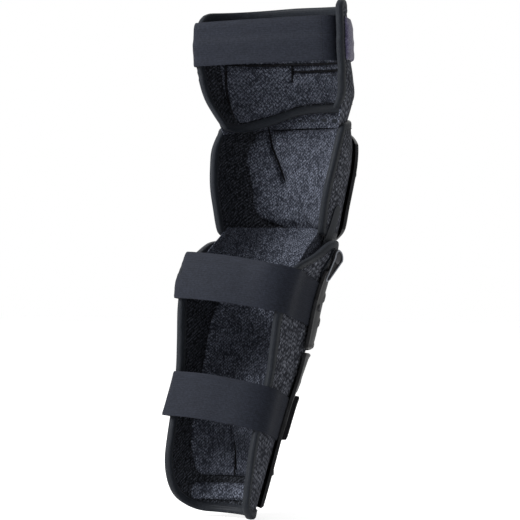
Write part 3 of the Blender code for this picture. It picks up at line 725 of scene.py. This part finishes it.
def pad(name, section, low, high, left, right, depth, corner, crown, replaced, channels=(), edges=None):
    """A crowned pad on the inside of a section, sewn down along its edges and its channels.

    low and high are heights; left and right give the turn of each side edge at a height.
    A channel is a list of (turn, height) points with a width and a depth.
    """
    middle = (low + high) / 2
    girth = section.half_girth(middle)
    columns = int((right(middle) - left(middle)) * girth / PAD_SPACING) + 1
    rows = int((high - low) / PAD_SPACING) + 1
    u, v = shares(rows, columns)
    height = low + (high - low) * v + 0 * u
    ends = np.minimum(height - low, high - height)
    retreat = rounded_drop(ends, corner) / girth
    start, stop = left(height) + retreat, right(height) - retreat
    turn = start + (stop - start) * u
    if edges is not None:
        height = edges(turn, height, v)
    across = np.sin(math.pi * u) ** crown
    upright = np.minimum(1.0, np.sin(math.pi * v) * 2.6) ** crown
    lift = depth * across * upright
    for points, width, deep in channels:
        reach = distance_to(np.stack([turn * girth, height], -1), np.array(points) * (girth, 1.0))
        lift = lift - deep * np.minimum(1.0, lift / depth) * np.exp(-(reach / width) ** 2)
    lift = np.maximum(lift, 0.0007)
    backing = (SHIN_WALL if section is SHIN else WALL) + 0.0003
    inner = section.points(turn, height, -backing)
    outer = section.points(turn, height, -backing - 0.0006 - lift)
    places = np.stack([turn * girth, height], -1)
    made = slab(name, outer, inner, ["lining"], places)
    fixed = np.arange(rows * columns, 2 * rows * columns)
    flat = np.flatnonzero((lift < 0.35 * depth).ravel())
    inflate(made, np.concatenate([fixed, flat]))
    smoothing = made.modifiers.new("smooth", "SUBSURF")
    smoothing.levels = smoothing.render_levels = 1
    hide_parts(*replaced)
    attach(made, name.split("_")[0] + "_body")


def distance_to(places, line):
    """Distance from each place to the nearest point of a polyline."""
    best = np.full(places.shape[:-1], np.inf)
    for a, b in zip(line, line[1:]):
        along = b - a
        t = np.clip(((places - a) @ along) / max(along @ along, 1e-12), 0.0, 1.0)
        near = a + t[..., None] * along
        best = np.minimum(best, np.linalg.norm(places - near, axis=-1))
    return best


# --- The thigh, knee and shin sections ---


def thigh():
    wall("thigh", THIGH, thigh_low, thigh_high, WALL, (44, 130))
    binding("thigh", THIGH, thigh_low, thigh_high, WALL, TAPE_WIDTH)
    creases = {
        "pocket": [(0.70, 0.4420), (0.03, 0.4415), (-0.66, 0.4395)],
        "welt": [(0.03, 0.4345), (-0.66, 0.4325)],
        "flap": [(0.03, 0.4410), (0.07, 0.4240)],
        "far_seam": [(0.70, 0.4600), (0.71, 0.4374), (0.76, 0.4069), (0.80, 0.3854)],
    }
    widths = ((0.0030, 0.0050), (0.0026, 0.0045), (0.0022, 0.0035), (0.0024, 0.0040))

    def follow_rims(turn, height, share):
        return (thigh_low(turn) + 0.0100) * (1 - share) + (thigh_high(turn) - 0.0110) * share

    pad("thigh_padding", THIGH, 0.392, 0.488, lambda h: -0.84 + 0 * h, lambda h: 0.74 + 0 * h,
        0.0075, 0.006, 0.30, ["thigh_lining"],
        [(line, *width) for line, width in zip(creases.values(), widths)], follow_rims)
    # Dark cords along the pad's creases and seams, as painted shade.
    for label, line in creases.items():
        shade_cord("thigh_crease_shade_" + label, THIGH, line, -WALL - 0.0058, 0.0014, "thigh_body")
    for label, line, offset in (
            ("pocket", [(0.02, 0.4300), (-0.66, 0.4280)], 0.0078),
            ("side", [(0.80, 0.395), (0.79, 0.44), (0.79, 0.482)], 0.0004)):
        stitch_line("thigh_" + label + "_stitches", THIGH, np.array(line), -WALL - offset, "thigh_body",
                    side=-1)


def knee():
    wall("knee", KNEE, knee_low, knee_high, WALL, (44, 120))
    binding("knee", KNEE, knee_low, knee_high, WALL, TAPE_WIDTH)
    slit = [(0.44, 0.381), (0.36, 0.362), (0.27, 0.343), (0.19, 0.323)]
    fold = [(0.20, 0.2765), (-0.20, 0.2750)]

    def left_edge(height):
        return curve(height, (0.270, 0.2765, 0.284, 0.293, 0.311, 0.330, 0.348, 0.361, 0.380),
                     (0.02, 0.16, 0.385, 0.47, 0.49, 0.525, 0.575, 0.56, 0.50))

    pad("knee_padding", KNEE, 0.2725, 0.3765, lambda h: -0.62 + 0 * h, left_edge, 0.0125, 0.004, 0.34,
        ["knee_pad", "knee_pad_lobe"], [(slit, 0.0030, 0.0100), (fold, 0.0036, 0.0060)])
    # A dark cord in the slit, as painted shade.
    shade_cord("knee_slit_shade", KNEE, slit, -WALL - 0.0052, 0.0011, "knee_body")


def shin():
    wall("shin", SHIN, shin_low, shin_high, SHIN_WALL, (84, 120))
    binding("shin", SHIN, shin_low, shin_high, SHIN_WALL, SHIN_TAPE_WIDTH)
    crease = [(0.19, 0.085), (0.02, 0.056), (-0.07, 0.034)]

    def left_edge(height):
        return curve(height, (0.033, 0.06, 0.136, 0.181, 0.206, 0.238),
                     (0.47, 0.60, 0.65, 0.60, 0.50, 0.44))

    pad("shin_padding", SHIN, 0.0335, 0.2380, lambda h: -0.62 + 0 * h, left_edge, 0.0115, 0.010, 0.34,
        ["shin_pad"], [(crease, 0.0026, 0.0040)])
    # A dark cord in the crease, as painted shade.
    shade_cord("shin_crease_shade", SHIN, crease, -SHIN_WALL - 0.0085, 0.0012, "shin_body")
    pad("shin_foot_padding", SHIN, 0.0110, 0.0270, lambda h: -0.58 + 0 * h, lambda h: 0.52 + 0 * h,
        0.0045, 0.004, 0.35, ["shin_pad_foot"])


def gusset(name, upper, lower, span, looks, bow=0.0):
    """Stretch fabric that joins one section's lining to the next across a joint.

    upper and lower give a section, a height and an offset for each edge. The middle bows
    towards the leg, clear of the lower section's rim.
    """
    turns = np.linspace(span[0], span[1], 90)
    share = np.linspace(0.0, 1.0, 24)[:, None]
    start = upper[0].points(turns, upper[1](turns), upper[2])
    end = lower[0].points(turns, lower[1](turns), lower[2])
    blend = share[..., None]
    middle = start[None] * (1 - blend) + end[None] * blend
    middle[..., 1] += np.sin(math.pi * share) * (0.0006 * np.cos(turns * math.pi * 14)
                                                 + bow * (1 - turns ** 2))
    inner = middle.copy()
    inner[..., :2] *= 0.985
    inner[..., 1] += 0.0004
    girth = lower[0].half_girth(float(lower[1](0.0)))
    depth = float(np.linalg.norm(start - end, axis=-1).mean())
    places = np.stack(np.broadcast_arrays(turns * girth, -share * depth), -1)
    made = slab(name, middle, inner, looks, places)
    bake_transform(made)


def gussets():
    gusset("knee_to_shin_gusset", (KNEE, lambda t: 0.2760 + 0 * t, -0.0068),
           (SHIN, lambda t: 0.2300 + 0 * t, -0.0046), (-0.90, 0.90),
           ["lining"], bow=0.0055)
    gusset("thigh_to_knee_gusset", (THIGH, lambda t: thigh_low(t) + 0.0100, 0.0004),
           (KNEE, lambda t: 0.3780 - 0.008 * t * t, -0.0056), (-0.97, 0.97),
           ["outer", "lining"])


# --- Hard shells ---


def shell(name, section, reach, low, high, relief, body, node, size):
    """A moulded front shell with a rolled rim and raised ridges."""
    rows, columns = size
    turns = np.linspace(-reach, reach, columns)
    v = np.linspace(0.0, 1.0, rows)[:, None]
    height = low(turns) * (1 - v) + high(turns) * v
    turn = np.broadcast_to(turns, height.shape)
    u = (turn / reach + 1) / 2
    edge = np.minimum(np.minimum(u, 1 - u) * 2 * reach * section.half_girth(0.3),
                      np.minimum(v, 1 - v) * float(np.mean(high(turns) - low(turns))))
    lip = 0.0007 * np.exp(-((edge - 0.0022) / 0.0014) ** 2)
    rounding = 0.0012 * (1 - np.clip(edge / 0.0014, 0, 1)) ** 2
    over = SHELL_OUTSIDE + relief(turn, v) * ease(edge, 0.001, 0.006) + lip - rounding
    laid(name, section, turn, height, (over, SHELL_INSIDE), ["shell"], section.half_girth(0.3), body,
         [node])


def ridges(turn, v, centre_width, lines):
    """A raised keel along the middle, and slanting steps beside it."""
    keel = 0.0016 * (1 - ease(np.abs(turn), centre_width * 0.6, centre_width))
    steps = 0.0
    for at, slope in lines:
        reach = v - at - slope * np.abs(turn)
        steps = steps + 0.0011 * ease(reach, -0.02, 0.0) * (1 - ease(reach, 0.05, 0.09))
    side = ease(np.abs(turn), centre_width, centre_width + 0.04) * (1 - ease(np.abs(turn), 0.42, 0.50))
    return keel + steps * side


def shells():
    shell("knee_cup", KNEE, 0.60, lambda t: 0.250 + 0.024 * np.maximum(0, np.abs(t) - 0.24) / 0.36,
          lambda t: 0.379 - 0.020 * np.maximum(0, np.abs(t) - 0.36) / 0.24,
          lambda t, v: ridges(t, v, 0.16, ((0.16, 0.5), (0.36, 0.5), (0.56, 0.5))),
          "knee_body", "knee_shell", (90, 130))
    shell("shin_plate_upper", SHIN, 0.58, lambda t: 0.150 + 0.012 * np.abs(t),
          lambda t: 0.243 - 0.018 * np.abs(t),
          lambda t, v: ridges(t, v, 0.14, ((0.20, -0.5), (0.50, -0.5), (0.80, -0.5))),
          "shin_body", "shin_shell_upper", (70, 120))
    shell("shin_plate_lower", SHIN, 0.58, lambda t: 0.0065 + 0.0135 * ease(t, 0.20, 0.58),
          lambda t: 0.146 + 0.012 * np.abs(t),
          lambda t, v: ridges(t, v, 0.14, ((0.15, 0.3), (0.38, 0.3), (0.62, 0.3))) - 0.0002,
          "shin_body", "shin_shell_lower", (100, 120))


# --- Straps ---

CORNER_WIDTH, CORNER_DEPTH = 0.034, 0.020
CORNER_SIDE, CORNER_BACK = 0.0075, 0.0140
WEBBING_COLUMNS, WEBBING_ROWS = 150, 23
MIDDLE_ROW = WEBBING_ROWS // 2


@dataclass
class Strap:
    """The webbing's route, worked out as the frame's own strap is.

    Its middle is at height where it is rear behind the knee axis on the middle plane, and rises
    by the two slopes backwards and to the left. fold turns its upper left corner forwards.
    """

    label: str
    section: Section
    wall: float
    height: float
    half_width: float
    rear: float
    slopes: tuple
    bulge: float
    slack: float
    tab_turn: float
    flare: float = 0.0
    fold: float = 0.0
    sewn_inside: bool = False

    def bend_turn(self):
        return 1 - 0.014 / self.section.half_girth(self.height)

    def middle(self, place):
        backwards, sideways = self.slopes
        return self.height + backwards * (place.y - self.rear) + sideways * place.x

    def on_surface(self, turn, level, offset):
        height = self.height
        for _ in range(6):
            spot = self.section.point(turn, height, offset)
            height = self.middle(spot) + level * self.half_width
        return self.section.point(turn, height, offset)

    def roll_centre(self, side, level):
        """Middle of the rolled edge that the webbing passes over, and its turn."""
        height = self.height
        for _ in range(8):
            turn = 1 - ROLL / self.section.half_girth(height)
            spot = self.section.point(side * turn, height, -self.wall / 2)
            height = self.middle(spot) + level * self.half_width
        if side > 0:
            turn -= self.fold * float(ease(level, -0.5, 1.2))
        return self.section.point(side * turn, height, -self.wall / 2), turn

    def stand_off(self, turn):
        share = (self.bend_turn() - turn) / (self.bend_turn() - self.tab_turn)
        return self.flare * min(max(share, 0.0), 1.0)

    def sewn_end(self, level, right, left):
        """The webbing's first points: on the flank, or inside it, and round its rear edge."""
        girth = self.section.half_girth(self.height)
        if self.sewn_inside:
            inside = -self.wall - 0.0012 - STRAP_THICKNESS / 2
            turns = np.linspace(1 - 0.030 / girth, 1 - 0.012 / girth, 4)
            path = [self.on_surface(-float(turn), level, inside) for turn in turns]
            return path + [right + Vector((0.0062, 0.0005, 0)), right + Vector((0.0074, 0.0038, 0))]
        close = LAYER * 1.2 + STRAP_THICKNESS / 2
        turns = np.linspace(0.50, 1 - 1.5 * CORNER_DEPTH / girth, 14)
        path = [self.on_surface(-float(turn), level, close) for turn in turns]
        centre = right + Vector((CORNER_WIDTH - CORNER_SIDE, CORNER_BACK - CORNER_DEPTH, 0))
        for angle in (85, 70, 55, 40, 25, 12):
            turn = math.radians(angle)
            place = centre + Vector((-math.sin(turn) * CORNER_WIDTH, math.cos(turn) * CORNER_DEPTH, 0))
            share = max((place.x - right.x) / (left.x - right.x), 0.0)
            place.z += (left.z - right.z) * share
            place.z += self.slopes[0] * (place.y - right.y - STRAP_REACH)
            path.append(place)
        return path

    def row(self, level):
        """The webbing's middle along one level, from its sewn end to its hook end."""
        right = self.roll_centre(-1, level)[0]
        left, fold = self.roll_centre(1, level)
        path = self.sewn_end(level, right, left)
        slack = self.slack * (1 - level) / 2
        for share in np.linspace(0.10 if self.sewn_inside else 0.34, 1.0, 14):
            wave = self.bulge * math.sin(math.pi * share)
            path.append(right.lerp(left, float(share))
                        + Vector((slack * share, STRAP_REACH + wave, self.slopes[0] * wave)))
        bend = min(self.bend_turn(), fold - 0.010 / self.section.half_girth(self.height))
        side_out = self.section.point(bend, self.height, FLANK_OFFSET).x
        side_out -= self.roll_centre(1, 0.0)[0].x
        for angle in (22, 45, 68, 90):
            turn = math.radians(angle)
            path.append(left + Vector((math.sin(turn) * max(side_out, STRAP_REACH) + slack,
                                       math.cos(turn) * STRAP_REACH, 0.0)))
        for turn in np.linspace(bend, self.tab_turn, 10):
            path.append(self.on_surface(float(turn), level, FLANK_OFFSET + self.stand_off(turn)))
        path = relaxed(resample(np.array([list(p) for p in path]), 0.002), 14, False)
        return evenly(path, WEBBING_COLUMNS)


STRAPS = (
    Strap("thigh", THIGH, WALL, 0.461, 0.0220, rear=0.012, slopes=(0.0, 0.0), bulge=0.004, slack=0.001,
          tab_turn=0.70, flare=0.0085, sewn_inside=True),
    Strap("upper_calf", SHIN, SHIN_WALL, 0.2235, 0.0235, rear=0.082, slopes=(0.28, 0.115), bulge=0.010,
          slack=0.003, tab_turn=0.62, flare=0.0004, fold=0.17),
    Strap("lower_calf", SHIN, SHIN_WALL, 0.1107, 0.0235, rear=0.108, slopes=(0.36, 0.120), bulge=0.010,
          slack=0.008, tab_turn=0.62),
)


def strap(route):
    """The webbing, laid as one piece from its sewn end round the rear edge to its hook end."""
    levels = np.linspace(-1.0, 1.0, 9)
    coarse = np.stack([route.row(float(level)) for level in levels])
    fine = np.linspace(-1.0, 1.0, WEBBING_ROWS)
    grid = np.apply_along_axis(lambda line: np.interp(fine, levels, line), 0, coarse)
    normal = unit(np.cross(np.gradient(grid, axis=1), np.gradient(grid, axis=0)))
    length = float(np.linalg.norm(np.diff(grid[MIDDLE_ROW], axis=0), axis=1).sum())
    u = np.linspace(0.0, length, grid.shape[1])[None, :]
    half = STRAP_THICKNESS / 2 * (1 - 0.55 * ease(np.abs(fine), 0.93, 1.0))[:, None, None]
    selvedge = 0.00018 * np.exp(-((np.abs(fine) - 0.90) / 0.03) ** 2)[:, None, None]
    places = np.stack(np.broadcast_arrays(u, fine[:, None] * route.half_width), -1)
    made = slab(route.label + "_webbing", grid + normal * (half + selvedge),
                grid - normal * half, ["webbing"], places)
    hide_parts(route.label + "_strap", route.label + "_strap_anchor")
    corner = route.roll_centre(-1, 0.0)[0]
    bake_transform(made)
    return grid, normal


def strap_seam(route, grid, normal):
    """A row of stitches across the webbing, just inside the rear edge it is sewn to."""
    back = grid[MIDDLE_ROW, :, 1].argmax()
    sign = 1.0 if normal[MIDDLE_ROW, back, 1] > 0 else -1.0
    seam = route.roll_centre(-1, 0)[0].x + 0.016
    column = int(np.argmin(np.abs(grid[MIDDLE_ROW, :back, 0] - seam)))
    line = grid[1:-1, column] + sign * normal[1:-1, column] * STRAP_THICKNESS * 0.55
    line = resample(line, 0.0024)
    outs = np.repeat(sign * normal[MIDDLE_ROW, column][None], len(line) - 1, 0)
    stitches(route.label + "_seam", (line[1:] + line[:-1]) / 2, unit(np.diff(line, axis=0)), outs,
             route.label + "_strap_body", length=0.0017, radius=0.00028)


def straps():
    for route in STRAPS:
        grid, normal = strap(route)
        if route.sewn_inside:
            strap_seam(route, grid, normal)


# --- Trim ---


def fuzzy_patch():
    """The loop patch outside the front of the thigh, soft and slightly lumpy."""
    u, v = shares(34, 96)
    turn = -0.925 + 0.785 * u + 0 * v
    height = 0.440 + 0.042 * v + 0 * u
    lumps = np.array([[noise.noise(Vector((9 * a, 7 * b, 0.3))) for a in u[0]] for b in v[:, 0]])
    crown = (np.sin(math.pi * u) * np.sin(math.pi * v)) ** 0.25
    over = 0.0014 + 0.0042 * crown + 0.0009 * lumps * crown
    made = laid("thigh_fuzzy_patch", THIGH, turn, height, (over, 0.0010), ["pile"], 0.16, "thigh_body",
                ["thigh_loop_patch"])


EAR_RADIUS, EAR_TAIL_RADIUS = 0.0084, 0.0040
EAR_TAIL, EAR_LEAN = 0.0205, 0.28
EAR_HEIGHT, EAR_AHEAD = 0.2448, 0.001
EAR_RIM_INSET, EAR_RIM_RADIUS = 0.0012, 0.0007


def ear_ring(side, inset, drop):
    """Points round the ear's outline, moved in by inset and sunk by drop below its face."""
    angles = round_angles(64)
    tail = np.sin(angles) > (EAR_RADIUS - EAR_TAIL_RADIUS) / EAR_TAIL
    reach = np.where(tail, EAR_TAIL_RADIUS, EAR_RADIUS) - inset
    across = reach * np.cos(angles)
    down = reach * np.sin(angles) + np.where(tail, EAR_TAIL, 0.0)
    face = curve(down, (-0.010, 0.0000, 0.0072, 0.0120, 0.0170, 0.0245),
                 (0.0751, 0.0752, 0.0748, 0.0722, 0.0688, 0.0644))
    back = across * math.cos(EAR_LEAN) + down * math.sin(EAR_LEAN)
    fall = down * math.cos(EAR_LEAN) - across * math.sin(EAR_LEAN)
    return np.stack([side * (face - drop), back - EAR_AHEAD, EAR_HEIGHT + FOOT_LEVEL - fall], -1)


def pivot_ear(label, side):
    """The moulded cover over the pivot and the top of its arm, with its pale rim, lightened further as a
    painted highlight.
    """
    layers = ((0.0, 0.0024), (0.0, 0.0006), (0.0006, 0.0), (0.0024, 0.0), (0.0032, 0.0007))
    rings = np.array([ear_ring(side, inset, drop) for inset, drop in layers])
    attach(swept("pivot_ear_" + label, rings, "shell", False, 0.06, 0.001, 30), "shin_body")
    hoop = [ear_ring(side, EAR_RIM_INSET + EAR_RIM_RADIUS * math.cos(a), -EAR_RIM_RADIUS * math.sin(a))
            for a in round_angles(12)]
    rings = np.array(hoop).transpose(1, 0, 2)
    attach(swept("pivot_ear_rim_" + label, rings, "pale", True, 0.004, 0.001), "shin_body")


def rivet_heads(label, side):
    """Flat heads that sit on the hard shells."""
    for part, section, body, turn, height in (("knee", KNEE, "knee_body", 0.52, 0.330),
                                              ("shin_upper", SHIN, "shin_body", 0.50, 0.196),
                                              ("shin_lower", SHIN, "shin_body", 0.50, 0.040)):
        spot = np.array(section.point(side * turn, height, SHELL_OUTSIDE))
        out = unit(np.array(section.point(side * turn, height, SHELL_OUTSIDE + 0.001)) - spot)
        along = unit(np.cross(out, (0.0, 0.0, 1.0)))
        up = np.cross(along, out)
        angles = round_angles(28)[:, None]
        rings = [spot + out * lift + radius * (np.cos(angles) * along + np.sin(angles) * up)
                 for radius, lift in ((0.0040, -0.0020), (0.0040, 0.0006), (0.0034, 0.0011),
                                      (0.0012, 0.0013))]
        made = swept(part + "_rivet_head_" + label, np.array(rings), "metal", False, 0.025, 0.001, 30)
        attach(made, body)
        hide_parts(part + "_rivet_" + label)


def slab_pad():
    """The folded tape end that stands off the lower shin plate."""
    u, v = shares(20, 24)
    turn = -0.44 + 0.24 * u + 0 * v
    height = 0.0690 + 0.041 * v + 0 * u
    edge = np.minimum(np.minimum(u, 1 - u) * 0.028, np.minimum(v, 1 - v) * 0.041)
    rounding = 0.0010 * (1 - np.clip(edge / 0.0012, 0, 1)) ** 2
    skins = (SHELL_OUTSIDE + 0.0052 - rounding, SHELL_OUTSIDE + 0.0002)
    laid("shin_tape_stack", SHIN, turn, height, skins, ["hooks"], 0.13, "shin_body", ["shin_loop_pad"])


def repaint():
    """The frame's own pieces that stay get the same looks."""
    kinds = (("hook_tab", "hooks"), ("landing_patch", "pile"), ("link", "binding"), ("arm", "binding"),
             ("pin", "metal"), ("foam", "foam"))
    for name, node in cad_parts.items():
        for word, look in kinds:
            if word in name and not node.hide_render:
                node.data.materials.clear()
                node.data.materials.append(LOOK[look])


# --- The setting ---


CAMERA_DISTANCE, CAMERA_AZIMUTH, CAMERA_LEVEL = 2.3, 210, -0.074
VIEW_WIDTH, VIEW_SHIFT = 0.520, (-0.0240, -0.0058)
AMBIENT = 0.40
FLOOR_GLOW, FLOOR_GAP, FLOOR_HALF = 0.62, 0.002, 6.0


def camera():
    azimuth = math.radians(CAMERA_AZIMUTH)
    data = bpy.data.cameras.new("camera")
    made = linked("camera", data)
    data.sensor_width = 36
    data.lens = data.sensor_width * CAMERA_DISTANCE / VIEW_WIDTH
    data.shift_x, data.shift_y = VIEW_SHIFT
    made.location = (math.sin(azimuth) * CAMERA_DISTANCE, -math.cos(azimuth) * CAMERA_DISTANCE,
                     CAMERA_LEVEL)
    made.rotation_euler = (math.pi / 2, 0.0, azimuth)
    bpy.context.scene.camera = made


def light(name, azimuth, elevation, distance, size, power):
    data = bpy.data.lights.new(name, "AREA")
    data.size = size
    data.energy = power
    made = linked(name, data)
    a, e = math.radians(azimuth), math.radians(elevation)
    made.location = Vector((math.sin(a) * math.cos(e), -math.cos(a) * math.cos(e), math.sin(e))) * distance
    made.rotation_euler = (-made.location).to_track_quat("-Z", "Y").to_euler()


def setting():
    """Even white surroundings, two soft lights and a plain floor that looks white to the camera."""
    scene = bpy.context.scene
    scene.view_settings.view_transform = "Standard"
    world = bpy.data.worlds.new("studio")
    world.use_nodes = True
    tree = world.node_tree
    sky = tree.nodes["Background"].inputs
    sky["Color"].default_value = (1.0, 1.0, 1.0, 1.0)
    seen = tree.nodes.new("ShaderNodeLightPath").outputs["Is Camera Ray"]
    strength = tree.nodes.new("ShaderNodeMapRange")
    strength.inputs["To Min"].default_value = AMBIENT
    tree.links.new(seen, strength.inputs["Value"])
    tree.links.new(strength.outputs["Result"], sky["Strength"])
    scene.world = world
    light("key", 138, 34, 1.8, 0.9, 36)
    light("front", 20, 35, 2.0, 1.4, 7)
    n = Nodes("floor")
    tone = n.noise(n.place(), 3.0, 3.0)
    paint = n.finish(n.mix(tone, (0.93, 0.93, 0.93), (0.96, 0.96, 0.96)), 0.6)
    n.shader.inputs["Emission Color"].default_value = (1.0, 1.0, 1.0, 1.0)
    seen = n.add("ShaderNodeLightPath").outputs["Is Camera Ray"]
    n.tree.links.new(n.math("MULTIPLY", seen, FLOOR_GLOW), n.shader.inputs["Emission Strength"])
    level = CAD_BOX[0][2] - FOOT_SLANT - FLOOR_GAP
    data = bpy.data.meshes.new("floor")
    data.from_pydata([(x * FLOOR_HALF, y * FLOOR_HALF, level)
                      for x, y in ((-1, -1), (1, -1), (1, 1), (-1, 1))], [], [(0, 1, 2, 3)])
    data.materials.append(paint)
    linked("floor", data)


camera()
thigh()
knee()
shin()
gussets()
shells()
straps()
fuzzy_patch()
slab_pad()
for ear_label, ear_side in (("left", 1), ("right", -1)):
    pivot_ear(ear_label, ear_side)
    rivet_heads(ear_label, ear_side)
repaint()
setting()
